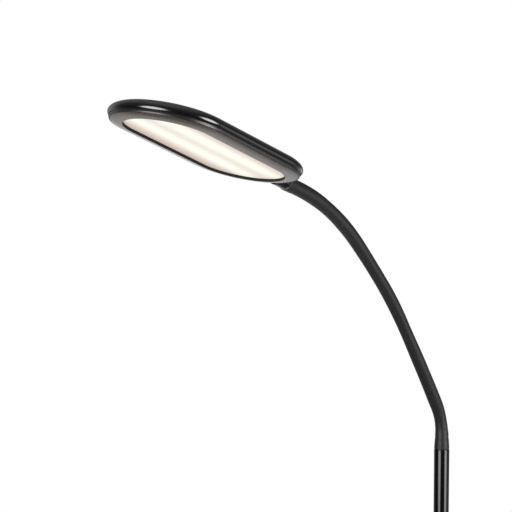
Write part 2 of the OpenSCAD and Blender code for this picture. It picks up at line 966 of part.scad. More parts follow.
module bezel() {
    color("#4d4945")
        in_head()
            oval_sweep()
                polygon(concat(
                    [[wall_r, lens_recess], [wall_r, bezel_edge],
                     [wall_r + bezel_edge, bezel_z(wall_r + bezel_edge)]],
                    [for (i = [1 : 5]) let (r = opening_r + bezel_w * i / 5) [r, bezel_z(r)]],
                    [[bezel_out_r, bezel_z(bezel_out_r) + bezel_wall],
                     [opening_r + ledge_w + lip_w, bezel_z(opening_r + ledge_w + lip_w) + bezel_wall],
                     [opening_r + ledge_w + lip_w, lens_top], [opening_r + ledge_w, lens_top],
                     [opening_r + ledge_w, lens_recess]]));
}

module lens() {
    color("#fff6ea")
        in_head()
            oval_plate(lens_r, lens_recess, lens_h);
}

module reflector_tray() {
    lean = atan((tray_top - lens_top) / (tray_foot_r - tray_r));
    out = tray_wall / sin(lean);
    color("#f4f4f2")
        in_head()
            oval_sweep()
                polygon([[tray_foot_r, lens_top], [tray_foot_r + out, lens_top], [tray_r + out, tray_top],
                    [tray_r + out - tray_wall / tan(lean), tray_back], [0, tray_back], [0, tray_top],
                    [tray_r, tray_top]]);
}

module led_boards() {
    color("#f1efe6")
        in_head()
            for (side = [-1, 1])
                translate([-led_pitch * led_count / 2, side * row_pitch / 2 - led_board_w / 2, tray_top - board_h])
                    cube([led_pitch * led_count, led_board_w, board_h]);
    color("#ffd76a")
        in_head()
            for (side = [-1, 1])
                for (i = [0 : led_count - 1])
                    translate([led_pitch * (i + 0.5 - led_count / 2), side * row_pitch / 2,
                        tray_top - board_h - led_size[2] / 2])
                        cube(led_size, center = true);
}

module heat_spreader() {
    color("#c9cacc")
        in_head()
            difference() {
                oval_plate(spreader_r, tray_back, spreader_h);
                at_spreader_screws()
                    translate([0, 0, tray_back - 1])
                        cylinder(h = spreader_h + 2, r = small_screw_r);
                translate([driver_x, -notch_w / 2, tray_back - 1])
                    cube([spreader_r + half_span, notch_w, spreader_h + 2]);
            }
}

module spreader_screws() {
    color("#b9b6ae")
        in_head()
            at_spreader_screws() {
                translate([0, 0, tray_back - small_head_h])
                    cylinder(h = small_head_h, r = small_head_r);
                translate([0, 0, tray_back])
                    cylinder(h = spreader_h + small_screw_l, r = small_screw_r);
            }
}

module driver_board() {
    top = spreader_back + board_h;
    color("#1f5c3a")
        in_head()
            translate([driver_x - driver_l, -driver_w / 2, spreader_back])
                cube([driver_l, driver_w, board_h]);
    color("#3a3a3c")
        in_head()
            for (chip = driver_chips)
                translate([driver_x - chip[0], chip[1], top])
                    cube([chip[2], chip[3], chip[4]]);
    color("#e8e4d8")
        in_head()
            translate([driver_x - plug_l, -plug_w / 2, top])
                cube([plug_l, plug_w, plug_h]);
}

module head_wire() {
    rise = spreader_back + board_h + 0.2 - stem_h;
    climb_x = tongue_x - wire_climb;
    knuckle_r = head_wire_r + 0.1;
    color("#d8d5cc")
        in_head() {
            along_stem(tongue_x)
                cylinder(h = last_bend_x - neck_r - tongue_x, r = head_wire_r);
            translate([tongue_x, 0, stem_h])
                sphere(knuckle_r);
            translate([tongue_x, 0, stem_h])
                rotate([0, -90 + atan(rise / wire_climb), 0])
                    cylinder(h = norm([wire_climb, rise]), r = head_wire_r - 0.1);
            translate([climb_x, 0, stem_h + rise])
                sphere(knuckle_r);
            translate([driver_x, 0, stem_h + rise])
                rotate([0, 90, 0])
                    cylinder(h = climb_x - driver_x, r = head_wire_r);
        }
}

foot_pad();
base_weight();
base_cover();
cord_grommet();
base_stud();
base_washer();
base_nut();
pole_collar();
foot_insert();
pole_tube(base_h, pole_joint_z);  // pole_lower
male_insert();
female_insert();
pole_tube(pole_joint_z, middle_end_z);  // pole_middle
switch_front();
switch_back();
switch_board();
switch_screws();
power_button();
dimmer_button();
pole_tube(upper_start_z, pole_end_z);  // pole_upper
supply_cable();
lamp_cable();
neck_ferrule();
lower_cuff();
for (i = [0 : sections - 1]) {
    neck_sleeve(i);
    neck_hose(i);
    neck_wire(i);
}
upper_cuff();
upper_ferrule();
neck_stem();
head_shell();
trim_ring();
bezel();
lens();
reflector_tray();
led_boards();
heat_spreader();
driver_board();
spreader_screws();
stem_screws();
head_wire();
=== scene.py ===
# %% [markdown]
# # A gooseneck reading lamp
#
# The lamp is a long oval LED head on a bendable neck, a slim glossy black pole and a round weighted base.
# This lesson dresses its construction model: the frame gives every piece's size, place and motion, and the
# cells below give the shapes their smooth surfaces and each surface its finish.
#
# The frame could be shown as it is, but its tubes and shells are made of flat facets, which a glossy finish
# shows at once. So each visible shell is built again with fine rings from the same sizes, and the pieces
# inside keep the frame's shapes and get a finish.

# %% Load the frame
import json
import math

import bmesh
import bpy
from mathutils import Matrix, Vector


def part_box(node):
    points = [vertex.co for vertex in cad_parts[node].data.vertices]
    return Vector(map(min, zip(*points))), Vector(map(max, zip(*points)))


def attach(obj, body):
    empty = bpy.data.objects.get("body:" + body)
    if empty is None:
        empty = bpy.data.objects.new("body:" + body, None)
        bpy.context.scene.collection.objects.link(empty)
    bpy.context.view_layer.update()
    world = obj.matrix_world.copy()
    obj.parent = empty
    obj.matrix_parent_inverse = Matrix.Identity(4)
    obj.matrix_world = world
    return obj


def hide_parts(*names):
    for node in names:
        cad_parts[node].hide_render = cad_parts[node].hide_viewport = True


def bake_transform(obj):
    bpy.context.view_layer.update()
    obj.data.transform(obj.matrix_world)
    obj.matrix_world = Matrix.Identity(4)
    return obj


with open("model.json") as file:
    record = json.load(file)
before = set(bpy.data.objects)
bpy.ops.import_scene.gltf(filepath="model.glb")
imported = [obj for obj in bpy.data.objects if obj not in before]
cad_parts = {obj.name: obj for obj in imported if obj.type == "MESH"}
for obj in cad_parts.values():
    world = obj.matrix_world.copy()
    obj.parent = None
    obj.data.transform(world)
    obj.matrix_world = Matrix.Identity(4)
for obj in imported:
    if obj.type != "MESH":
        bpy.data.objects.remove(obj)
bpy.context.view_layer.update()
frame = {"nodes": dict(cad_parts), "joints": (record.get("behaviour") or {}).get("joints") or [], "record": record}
mm = 0.001

# %% [markdown]
# ## Camera
#
# The photograph was taken from 3 m away with a long lens, a little above the head and tilted down. The camera
# could be placed by eye, but its place, heading and focal length were worked out together from the outlines
# of the head, so that the long oval is foreshortened as it is in the photograph.

# %% Camera
photo_px = 512
focal_px = 2150
sensor_mm = 36
camera_place = Vector((-2.6068, -1.5800, 1.5936))
camera_heading = math.radians(36.228)
camera_pitch = math.radians(-5.835)

camera = bpy.data.objects.new("camera", bpy.data.cameras.new("camera"))
bpy.context.scene.collection.objects.link(camera)
camera.data.sensor_width = sensor_mm
camera.data.lens = focal_px * sensor_mm / photo_px
look = Vector((math.cos(camera_heading) * math.cos(camera_pitch),
               math.sin(camera_heading) * math.cos(camera_pitch), math.sin(camera_pitch)))
camera.location = camera_place
camera.rotation_euler = look.to_track_quat("-Z", "Y").to_euler()
bpy.context.scene.camera = camera
print("camera:", round(camera.data.lens, 1), "mm lens, looking along", [round(v, 3) for v in look])

# %% [markdown]
# ## Room and light
#
# A product photograph stands on white, yet the black paint stays black, because most of what it reflects is a
# dark room. A white world alone would turn the paint grey. So the camera sees a white world, and the
# reflections see a dark room with a few soft patches of light. How bright each patch is, and where, can be
# read from the gloss in the photograph: the rim turns through every direction, so it is a mirror ball. Two
# large softboxes with fading edges, to the left and the right of the camera, draw the bright streaks.


# %% A math node
def calc(tree, operation, first, second=0.0):
    """A math node on two sockets or numbers, and its output."""
    node = tree.nodes.new("ShaderNodeMath")
    node.operation = operation
    for socket, value in zip(node.inputs, (first, second)):
        if isinstance(value, (int, float)):
            socket.default_value = value
        else:
            tree.links.new(value, socket)
    return node.outputs["Value"]


print("one helper makes the math nodes of the room and of the finishes")

# %% World
bpy.context.scene.view_settings.view_transform = "Standard"
bpy.context.scene.view_settings.look = "None"
room_dim = 0.03
# Each patch is (name, heading, height, spread across, spread up, brightness), with the angles in degrees
patches = [
    ("ceiling", 0, 90, 29, 29, 0.84),
    ("backdrop", 30, 8, 14, 12, 0.12),
    ("back_left", 82, -6, 16, 28, 0.66),
    ("back_floor", 40, -38, 17, 13, 1.0),
    ("far_wall", 42, -12, 6, 7, 1.2),
    ("front_floor", -30, -82, 14, 14, 1.2),
    ("side", -42, -18, 8, 11, 1.3),
    ("low_side", -6, -28, 13, 11, 0.55),
    ("low_glint", 6, -18, 6, 6, 1.2),
]

world = bpy.data.worlds.new("studio")
bpy.context.scene.world = world
world.use_nodes = True
sky = world.node_tree
sky.nodes.clear()
where = sky.nodes.new("ShaderNodeTexCoord")


def share_along(direction, scale=1.0):
    """How far the looked-at direction goes along another one, times a scale."""
    node = sky.nodes.new("ShaderNodeVectorMath")
    node.operation = "DOT_PRODUCT"
    node.inputs[1].default_value = direction * scale
    sky.links.new(where.outputs["Generated"], node.inputs[0])
    return node.outputs["Value"]


def patch_of_light(heading, height, across, up, bright):
    """An oval patch of light that fades from its middle like a bell curve."""
    turn, rise = math.radians(heading), math.radians(height)
    middle = Vector((math.cos(turn) * math.cos(rise), math.sin(turn) * math.cos(rise), math.sin(rise)))
    side = Vector((-math.sin(turn), math.cos(turn), 0))
    x = share_along(side, 1 / math.sin(math.radians(across)))
    y = share_along(middle.cross(side), 1 / math.sin(math.radians(up)))
    away = calc(sky, "ADD", calc(sky, "MULTIPLY", x, x), calc(sky, "MULTIPLY", y, y))
    bell = calc(sky, "EXPONENT", calc(sky, "MULTIPLY", away, -0.5))
    in_front = calc(sky, "GREATER_THAN", share_along(middle), 0.0)
    return calc(sky, "MULTIPLY", bell, calc(sky, "MULTIPLY", in_front, bright))


around = sky.nodes.new("ShaderNodeBackground")
room = room_dim
for name, *shape in patches:
    room = calc(sky, "ADD", patch_of_light(*shape), room)
sky.links.new(room, around.inputs["Color"])
white = sky.nodes.new("ShaderNodeBackground")
white.inputs["Color"].default_value = (1, 1, 1, 1)
seen = sky.nodes.new("ShaderNodeLightPath")
choose = sky.nodes.new("ShaderNodeMixShader")
out = sky.nodes.new("ShaderNodeOutputWorld")
sky.links.new(seen.outputs["Is Camera Ray"], choose.inputs["Fac"])
sky.links.new(around.outputs["Background"], choose.inputs[1])
sky.links.new(white.outputs["Background"], choose.inputs[2])
sky.links.new(choose.outputs["Shader"], out.inputs["Surface"])
print("world: white to the camera;", len(patches), "patches of light in reflections")

# %% Softboxes
# Each softbox is (name, place, what it points at, width, height, brightness), in metres. Its middle is evenly
# bright, and it fades to nothing at its edge.
softboxes = [
    ("left_softbox", (-3.55, 0.02, 0.86), (-0.6, 0.0, 1.4), 3.0, 2.9, 12),
    ("right_softbox", (0.20, -3.28, 0.92), (-0.4, 0.0, 1.4), 2.9, 3.4, 11.6),
]
box_core = 0.45
watts_per_brightness = 4
for name, place, aim, width, height, bright in softboxes:
    light = bpy.data.lights.new(name, "AREA")
    light.shape = "RECTANGLE"
    light.size = width
    light.size_y = height
    light.energy = watts_per_brightness * width * height * bright
    light.use_nodes = True
    tree = light.node_tree
    over = tree.nodes.new("ShaderNodeNewGeometry")
    centred = tree.nodes.new("ShaderNodeVectorMath")
    centred.operation = "SUBTRACT"
    centred.inputs[1].default_value = (0.5, 0.5, 0)
    away = tree.nodes.new("ShaderNodeVectorMath")
    away.operation = "LENGTH"
    fade = tree.nodes.new("ShaderNodeMapRange")
    fade.interpolation_type = "SMOOTHSTEP"
    fade.inputs["From Min"].default_value = box_core / 2
    fade.inputs["From Max"].default_value = 0.5
    fade.inputs["To Min"].default_value = 1.0
    fade.inputs["To Max"].default_value = 0.0
    tree.links.new(over.outputs["Parametric"], centred.inputs[0])
    tree.links.new(centred.outputs["Vector"], away.inputs[0])
    tree.links.new(away.outputs["Value"], fade.inputs["Value"])
    tree.links.new(fade.outputs["Result"], tree.nodes["Emission"].inputs["Strength"])
    box = bpy.data.objects.new(name, light)
    bpy.context.scene.collection.objects.link(box)
    box.location = place
    box.rotation_euler = (Vector(aim) - Vector(place)).to_track_quat("-Z", "Y").to_euler()
    box.visible_camera = False
print("softboxes:", [s[0] for s in softboxes])

# %% [markdown]
# ## Shape helpers
#
# Most of the lamp is turned on a lathe or moulded along an oval. Both are a profile carried along a path, so
# a profile with rounded corners and three ways of carrying it make nearly every piece. Modifiers could round
# the edges afterwards, but a rounded profile gives the exact radius and an even mesh.


# %% Rounded profiles
# A corner's rounding takes at most this share of each side beside it
corner_share = 0.48


def rounded(corners, steps=5):
    """Points of a closed profile. Each corner is (a, b) or (a, b, radius), in millimetres."""
    points = []
    count = len(corners)
    for i, corner in enumerate(corners):
        here = Vector(corner[:2])
        radius = corner[2] if len(corner) > 2 else 0
        if radius == 0:
            points.append(tuple(here))
            continue
        before = Vector(corners[i - 1][:2]) - here
        after = Vector(corners[(i + 1) % count][:2]) - here
        half = before.angle(after) / 2
        reach = min(radius / math.tan(half), before.length * corner_share, after.length * corner_share)
        start, end = here + before.normalized() * reach, here + after.normalized() * reach
        for k in range(steps + 1):
            t = k / steps
            points.append(tuple(start * (1 - t) ** 2 + here * 2 * t * (1 - t) + end * t * t))
    return points


def arc(a, b, radius_a, radius_b, start, end, steps):
    """Points along an ellipse round (a, b), from one angle to another in degrees."""
    angles = [math.radians(start + (end - start) * i / steps) for i in range(steps + 1)]
    return [(a + radius_a * math.cos(t), b + radius_b * math.sin(t)) for t in angles]


print("a square with 1 mm corners has", len(rounded([(0, 0, 1), (9, 0, 1), (9, 9, 1), (0, 9, 1)])), "points")

# %% Meshes from rings
finishes = {}
upright = Matrix.Identity(4)


def piece(name, rings, slot, place=upright, closed=True, caps=False, sharp=40):
    """A mesh whose rings of points, in metres, are joined in turn."""
    size = len(rings[0])
    points = [p for ring in rings for p in ring]
    pairs = len(rings) if closed else len(rings) - 1
    faces = []
    for i in range(pairs):
        j = (i + 1) % len(rings)
        for k in range(size):
            n = (k + 1) % size
            faces.append((i * size + k, i * size + n, j * size + n, j * size + k))
    if caps:
        faces.append(tuple(range(size)))
        faces.append(tuple((len(rings) - 1) * size + k for k in range(size)))
    mesh = bpy.data.meshes.new(name)
    mesh.from_pydata(points, [], faces)
    return finish_mesh(name, mesh, slot, place, sharp)


def finish_mesh(name, mesh, slot, place, sharp):
    """Merges the mesh's doubled points, turns its faces outwards and shades it smooth."""
    work = bmesh.new()
    work.from_mesh(mesh)
    bmesh.ops.remove_doubles(work, verts=work.verts, dist=0.002 * mm)
    bmesh.ops.recalc_face_normals(work, faces=work.faces)
    work.to_mesh(mesh)
    work.free()
    mesh.shade_smooth()
    mesh.set_sharp_from_angle(angle=math.radians(sharp))
    made = bpy.data.objects.new(name, mesh)
    bpy.context.scene.collection.objects.link(made)
    made.matrix_world = place
    mesh.materials.append(finishes[slot])
    return made


def turned(name, profile, slot, place=upright, steps=96):
    """A piece turned on a lathe about Z. The profile is closed, of (radius, height) in millimetres."""
    rings = []
    for i in range(steps):
        t = 2 * math.pi * i / steps
        rings.append([(r * mm * math.cos(t), r * mm * math.sin(t), z * mm) for r, z in profile])
    return piece(name, rings, slot, place)


print("lathe: 96 steps a turn")

# %% [markdown]
# ## Shared finish effects
#
# Real surfaces are never one flat value. Moulded plastic has a fine grain, paint has a slight ripple, and
# anything that stands in a room gathers dust on its upper faces. These three effects are node groups with
# named inputs, so each finish places the same group with its own scale and strength. They could be painted
# by hand or taken from images, but noise follows the shape from every side and needs no unwrapping.


# %% Node group helpers
def new_group(name, inputs, outputs):
    """An empty shader node group with named float inputs and float outputs."""
    group = bpy.data.node_groups.new(name, "ShaderNodeTree")
    for label, value in inputs:
        socket = group.interface.new_socket(label, in_out="INPUT", socket_type="NodeSocketFloat")
        socket.default_value = value
    for label in outputs:
        group.interface.new_socket(label, in_out="OUTPUT", socket_type="NodeSocketFloat")
    return group, group.nodes.new("NodeGroupInput"), group.nodes.new("NodeGroupOutput")


def noise(tree, scale, detail, rough):
    """A noise over the piece's own coordinates in metres, with its scale from a socket."""
    where = tree.nodes.new("ShaderNodeTexCoord")
    node = tree.nodes.new("ShaderNodeTexNoise")
    node.inputs["Detail"].default_value = detail
    node.inputs["Roughness"].default_value = rough
    tree.links.new(where.outputs["Object"], node.inputs["Vector"])
    tree.links.new(scale, node.inputs["Scale"])
    return node.outputs["Fac"]


print("node helpers ready")

# %% Grain, ripple and dust
grain_group, enter, leave = new_group("fine_grain", [("Scale", 900.0), ("Spread", 0.1)], ["Value", "Height"])
fine = noise(grain_group, enter.outputs["Scale"], 4.0, 0.6)
centred = calc(grain_group, "SUBTRACT", fine, 0.5)
uneven = calc(grain_group, "MULTIPLY", centred, enter.outputs["Spread"])
grain_group.links.new(calc(grain_group, "ADD", uneven, 1.0), leave.inputs["Value"])
grain_group.links.new(fine, leave.inputs["Height"])

smudge_group, enter, leave = new_group("faint_smudges", [("Scale", 14.0), ("Amount", 0.1)], ["Value"])
broad = noise(smudge_group, enter.outputs["Scale"], 6.0, 0.65)
smudge_from, smudge_to = 0.42, 0.72
ramp = smudge_group.nodes.new("ShaderNodeMapRange")
ramp.inputs["From Min"].default_value = smudge_from
ramp.inputs["From Max"].default_value = smudge_to
smudge_group.links.new(broad, ramp.inputs["Value"])
smudge_group.links.new(calc(smudge_group, "MULTIPLY", ramp.outputs["Result"], enter.outputs["Amount"]),
                       leave.inputs["Value"])

dust_group, enter, leave = new_group("settled_dust", [("Scale", 260.0), ("Amount", 0.05)], ["Mask"])
facing = dust_group.nodes.new("ShaderNodeNewGeometry")
parts = dust_group.nodes.new("ShaderNodeSeparateXYZ")
dust_group.links.new(facing.outputs["Normal"], parts.inputs["Vector"])
dust_falloff, speck_level, thin_film = 3.0, 0.55, 0.6
upward = calc(dust_group, "POWER", calc(dust_group, "MAXIMUM", parts.outputs["Z"], 0.0), dust_falloff)
specks = calc(dust_group, "GREATER_THAN", noise(dust_group, enter.outputs["Scale"], 2.0, 0.5), speck_level)
film = calc(dust_group, "ADD", calc(dust_group, "MULTIPLY", specks, 1 - thin_film), thin_film)
lying = calc(dust_group, "MULTIPLY", upward, film)
dust_group.links.new(calc(dust_group, "MULTIPLY", lying, enter.outputs["Amount"]), leave.inputs["Mask"])
print("groups:", [g.name for g in bpy.data.node_groups])


# %% [markdown]
# ## Finishes
#
# Each finish is one material named after the record's slot, so the frame's nodes and the new pieces share it.
# The colours are in linear light. A plain number goes on the shader's own socket; only what changes over the
# surface is wired in.


# %% A finish with the shared effects
dust_colour = (0.45, 0.43, 0.40)


def place_group(tree, group, **values):
    """A node of a group with its inputs set."""
    node = tree.nodes.new("ShaderNodeGroup")
    node.node_tree = group
    for label, value in values.items():
        node.inputs[label].default_value = value
    return node


def tinted(tree, colour, value):
    """The colour scaled by a value that changes over the surface."""
    node = tree.nodes.new("ShaderNodeVectorMath")
    node.operation = "SCALE"
    node.inputs[0].default_value = colour
    tree.links.new(value, node.inputs["Scale"])
    return node.outputs["Vector"]


def new_finish(slot, colour, rough, metal=0.0, grain=900.0, spread=0.12, bump=0.0, bump_depth=0.05,
               smudge=0.06, dust=0.0, gloss=0.5):
    """A material with grain in its colour and bump, smudges in its roughness and dust on its upper faces."""
    material = bpy.data.materials.new(slot)
    material.use_nodes = True
    tree = material.node_tree
    shader = tree.nodes["Principled BSDF"]
    shader.inputs["Metallic"].default_value = metal
    shader.inputs["Specular IOR Level"].default_value = gloss
    grained = place_group(tree, grain_group, Scale=grain, Spread=spread)
    colour_out = tinted(tree, colour, grained.outputs["Value"])
    if dust:
        settled = place_group(tree, dust_group, Amount=dust)
        mix = tree.nodes.new("ShaderNodeMix")
        mix.data_type = "RGBA"
        mix.inputs["B"].default_value = (*dust_colour, 1)
        tree.links.new(settled.outputs["Mask"], mix.inputs["Factor"])
        tree.links.new(colour_out, mix.inputs["A"])
        colour_out = mix.outputs["Result"]
    tree.links.new(colour_out, shader.inputs["Base Color"])
    smudged = place_group(tree, smudge_group, Amount=smudge)
    tree.links.new(calc(tree, "ADD", smudged.outputs["Value"], rough), shader.inputs["Roughness"])
    if bump:
        lift = tree.nodes.new("ShaderNodeBump")
        lift.inputs["Strength"].default_value = bump
        lift.inputs["Distance"].default_value = bump_depth * mm
        tree.links.new(grained.outputs["Height"], lift.inputs["Height"])
        tree.links.new(lift.outputs["Normal"], shader.inputs["Normal"])
    finishes[slot] = material
    return tree, shader


print("a finish is grain, smudges, dust and bump on one shader")

# %% Painted metal and moulded plastic
black_paint = (0.0026, 0.0020, 0.0021)
new_finish("gloss_black_metal", black_paint, 0.10, grain=240, spread=0.2, bump=0.12, bump_depth=0.02,
           smudge=0.05, dust=0.012, gloss=0.2)
new_finish("gloss_black_plastic", black_paint, 0.13, grain=180, spread=0.2, bump=0.10, bump_depth=0.02,
           smudge=0.05, dust=0.012)
new_finish("trim_plastic", (0.0036, 0.0030, 0.0030), 0.36, grain=600, spread=0.2, smudge=0.05)
new_finish("switch_plastic", (0.016, 0.014, 0.0145), 0.42, grain=1800, spread=0.3, bump=0.30, bump_depth=0.03,
           dust=0.01)
new_finish("button_plastic", (0.27, 0.26, 0.245), 0.38, grain=1800, spread=0.05, bump=0.15, bump_depth=0.02)
new_finish("cable_black", (0.018, 0.018, 0.018), 0.55, grain=700, spread=0.2)
new_finish("cable_white", (0.72, 0.70, 0.64), 0.50, grain=700, spread=0.05)
new_finish("reflector_white", (0.86, 0.86, 0.84), 0.30, grain=700, spread=0.03)
print("plastics and paints:", len(finishes))

# %% [markdown]
# ## The bezel's two surfaces
#
# The bezel's face is satin, and the low wall from its edge down to the lens is dull and black, which draws
# the dark line round the light. Two materials could be given to two sets of faces. Here one material asks how
# far a point lies from the oval's centre line, and turns dull and black inside the edge, whatever the mesh.

# %% Bezel with a black inner wall
wall_edge = 56.9 * mm
half_straight = 73.8 * mm
wall_black = (0.0012, 0.0011, 0.0011)
oval_group, enter, leave = new_group("oval_distance", [("Half Span", half_straight)], ["Distance"])
where_on = oval_group.nodes.new("ShaderNodeTexCoord")
axes = oval_group.nodes.new("ShaderNodeSeparateXYZ")
oval_group.links.new(where_on.outputs["Object"], axes.inputs["Vector"])
from_middle = calc(oval_group, "ABSOLUTE", axes.outputs["X"])
past_centre = calc(oval_group, "SUBTRACT", from_middle, enter.outputs["Half Span"])
past_centre = calc(oval_group, "MAXIMUM", past_centre, 0.0)
squares = calc(oval_group, "ADD", calc(oval_group, "MULTIPLY", past_centre, past_centre),
               calc(oval_group, "MULTIPLY", axes.outputs["Y"], axes.outputs["Y"]))
oval_group.links.new(calc(oval_group, "SQRT", squares), leave.inputs["Distance"])

tree, shader = new_finish("bezel_plastic", (0.0180, 0.0110, 0.0060), 0.22, grain=2600, spread=0.35, bump=0.35,
                          bump_depth=0.02, smudge=0.05)
oval = place_group(tree, oval_group)
face = calc(tree, "GREATER_THAN", oval.outputs["Distance"], wall_edge)
painted = tree.nodes.new("ShaderNodeMix")
painted.data_type = "RGBA"
painted.inputs["A"].default_value = (*wall_black, 1)
tree.links.new(face, painted.inputs["Factor"])
tree.links.new(shader.inputs["Base Color"].links[0].from_socket, painted.inputs["B"])
tree.links.new(painted.outputs["Result"], shader.inputs["Base Color"])
rough = shader.inputs["Roughness"].links[0].from_socket
tree.links.new(calc(tree, "MAXIMUM", rough, calc(tree, "SUBTRACT", 1.0, face)), shader.inputs["Roughness"])
print("bezel: black inside", round(wall_edge / mm, 1), "mm from the centre line")

# %% Rubber, metal and boards
new_finish("sleeve_rubber", (0.0052, 0.0048, 0.0050), 0.50, grain=520, spread=0.5, bump=0.45, bump_depth=0.08,
           smudge=0.10, dust=0.006, gloss=0.25)
new_finish("rubber", (0.022, 0.022, 0.022), 0.70, grain=700, spread=0.4, bump=0.4, bump_depth=0.06)
new_finish("iron", (0.085, 0.082, 0.078), 0.62, metal=0.85, grain=420, spread=0.6, bump=0.9, bump_depth=0.25)
new_finish("zinc_steel", (0.60, 0.59, 0.55), 0.32, metal=1.0, grain=500, spread=0.2, bump=0.1)
new_finish("turned_steel", (0.44, 0.43, 0.41), 0.28, metal=1.0, grain=500, spread=0.2, bump=0.1)
new_finish("aluminium", (0.78, 0.79, 0.80), 0.34, metal=1.0, grain=600, spread=0.1, bump=0.1)
new_finish("board_green", (0.020, 0.110, 0.050), 0.34, grain=900, spread=0.3)
new_finish("led_board_white", (0.84, 0.83, 0.78), 0.36, grain=900, spread=0.05)
print("all finishes:", len(finishes))

# %% [markdown]
# ## The lit lens
#
# Behind the milky lens lie two rows of LEDs. Their light spreads in the plastic into two bright bands with a
# slightly darker, rosier band between them. Real lights inside a scattering volume would give the same bands,
# slowly and with noise. The lens is read from outside only, so its glow is a pattern across the lens.

# %% Lens finish
lens_bright = (0.89, 0.865, 0.75)
lens_shade = (0.53, 0.42, 0.375)
row_y = 21 * mm
row_spread = 12.6 * mm
tree, shader = new_finish("opal_lens", (0.03, 0.028, 0.026), 0.35, grain=900, spread=0.02, smudge=0.02,
                          gloss=0.2)
where = tree.nodes.new("ShaderNodeTexCoord")
axes = tree.nodes.new("ShaderNodeSeparateXYZ")
tree.links.new(where.outputs["Object"], axes.inputs["Vector"])
rows = []
for row in (-row_y, row_y):
    away = calc(tree, "DIVIDE", calc(tree, "SUBTRACT", axes.outputs["Y"], row), row_spread)
    rows.append(calc(tree, "EXPONENT", calc(tree, "MULTIPLY", calc(tree, "MULTIPLY", away, away), -0.5)))
glow = tree.nodes.new("ShaderNodeMix")
glow.data_type = "RGBA"
glow.inputs["A"].default_value = (*lens_shade, 1)
glow.inputs["B"].default_value = (*lens_bright, 1)
tree.links.new(calc(tree, "ADD", *rows), glow.inputs["Factor"])
tree.links.new(glow.outputs["Result"], shader.inputs["Emission Color"])
shader.inputs["Emission Strength"].default_value = 1.0
print("lens: bands", row_y * 2000, "mm apart")

# %% Finishes on the frame's own nodes
for row in frame["record"]["subparts"]:
    node = frame["nodes"][row["node"]]
    for slot in node.material_slots:
        slot.material = finishes[row["material_slot"]]

# %% [markdown]
# ## Base
#
# The base is an iron weight under a pressed steel cover, with a rubber pad below and a small collar round the
# pole. The cover is turned from one thin profile: a straight rim, a rounded shoulder and a top that falls
# gently from the pole. A solid disc would look alike from above, but the real one is a hollow pressing with
# a rounded lower edge, and its rim casts the thin shadow line above the floor.

# %% Base cover
low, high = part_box("base_cover")
cover_r, cover_h = high.x / mm, high.z / mm
cover_wall, cover_edge = 1.2, 0.5
shoulder_r, shoulder_z, shoulder_end, shoulder_steps = 10, 13, 86, 22
shoulder_x = cover_r - shoulder_r
inner_r, under_h = shoulder_r - cover_wall, cover_h - cover_wall
land_r, land_round = 30, 6
hole_r = 5.2
skin = [(cover_r, low.z / mm, cover_edge)]
skin += arc(shoulder_x, shoulder_z, shoulder_r, shoulder_r, 0, shoulder_end, shoulder_steps)
skin += [(land_r, cover_h, land_round), (hole_r, cover_h), (hole_r, under_h), (land_r, under_h)]
skin += arc(shoulder_x, shoulder_z, inner_r, inner_r, shoulder_end, 0, shoulder_steps)
skin += [(cover_r - cover_wall, low.z / mm, cover_edge)]
base_cover = turned("base_cover_shell", rounded(skin), "gloss_black_metal", steps=160)


def cut(target, cutter):
    """Takes the cutter's shape out of the target, then removes the cutter."""
    modifier = target.modifiers.new("cut", "BOOLEAN")
    modifier.object = cutter
    modifier.solver = "EXACT"
    graph = bpy.context.evaluated_depsgraph_get()
    carved = bpy.data.meshes.new_from_object(target.evaluated_get(graph))
    target.modifiers.clear()
    target.data = carved
    bpy.data.objects.remove(cutter)


grommet_low, grommet_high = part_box("cord_grommet")
inlet_z = (grommet_low.z + grommet_high.z) / 2 / mm
drill_r, drill_l = 4.5, 20
inlet = Vector((cover_r - drill_l / 2, 0, inlet_z)) * mm
drill = turned("drill", [(0, 0), (drill_r, 0), (drill_r, drill_l), (0, drill_l)], "gloss_black_metal",
               Matrix.Translation(inlet) @ Matrix.Rotation(math.pi / 2, 4, "Y"), 48)
bpy.context.view_layer.update()
cut(base_cover, drill)
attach(base_cover, "stand")
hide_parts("base_cover")
print("base cover:", round(2 * cover_r), "mm across,", cover_h, "mm high")

# %% Collar
low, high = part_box("pole_collar")
collar_r, collar_low, collar_high = high.x / mm, low.z / mm, high.z / mm
pole_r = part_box("pole_lower")[1].x / mm
collar_gap, collar_wall, collar_rim = 0.1, 4, 1.5
slant_w, slant_h = 0.8, 1.0
step_r, collar_hole_r = pole_r + collar_wall, pole_r + collar_gap
curve_h = collar_high - collar_low - collar_rim - slant_h
curve = arc(collar_r, collar_high - slant_h, collar_r - step_r, curve_h, -90, -180, 16)
ring = [(collar_hole_r, collar_low), (collar_r, collar_low), (collar_r, collar_low + collar_rim, 0.5)]
ring += curve[1:] + [(step_r - slant_w, collar_high, 0.4), (collar_hole_r, collar_high, 0.2)]
collar = turned("pole_collar_ring", rounded(ring), "gloss_black_metal")
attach(collar, "stand")
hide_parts("pole_collar")
print("collar:", round(2 * collar_r), "mm across")

# %% [markdown]
# ## Pole
#
# The pole is steel tube in three lengths. Two screw together below the switch, and the ends of all of them
# have a small rounded edge, so a joint shows as a fine dark line between two glints. One long cylinder would
# lose those lines. Each tube is turned from its own profile at the heights that the frame gives.

# %% Tubes
tube_wall, tube_edge = 1.2, 0.35
bore_r = pole_r - tube_wall
for node in ("pole_lower", "pole_middle", "pole_upper"):
    low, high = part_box(node)
    bottom, top = low.z / mm, high.z / mm
    profile = [(bore_r, bottom), (pole_r, bottom, tube_edge), (pole_r, top, tube_edge), (bore_r, top)]
    tube = turned(node + "_tube", rounded(profile), "gloss_black_metal")
    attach(tube, "stand")
    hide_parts(node)
    print(node, "from", round(bottom), "to", round(top), "mm")

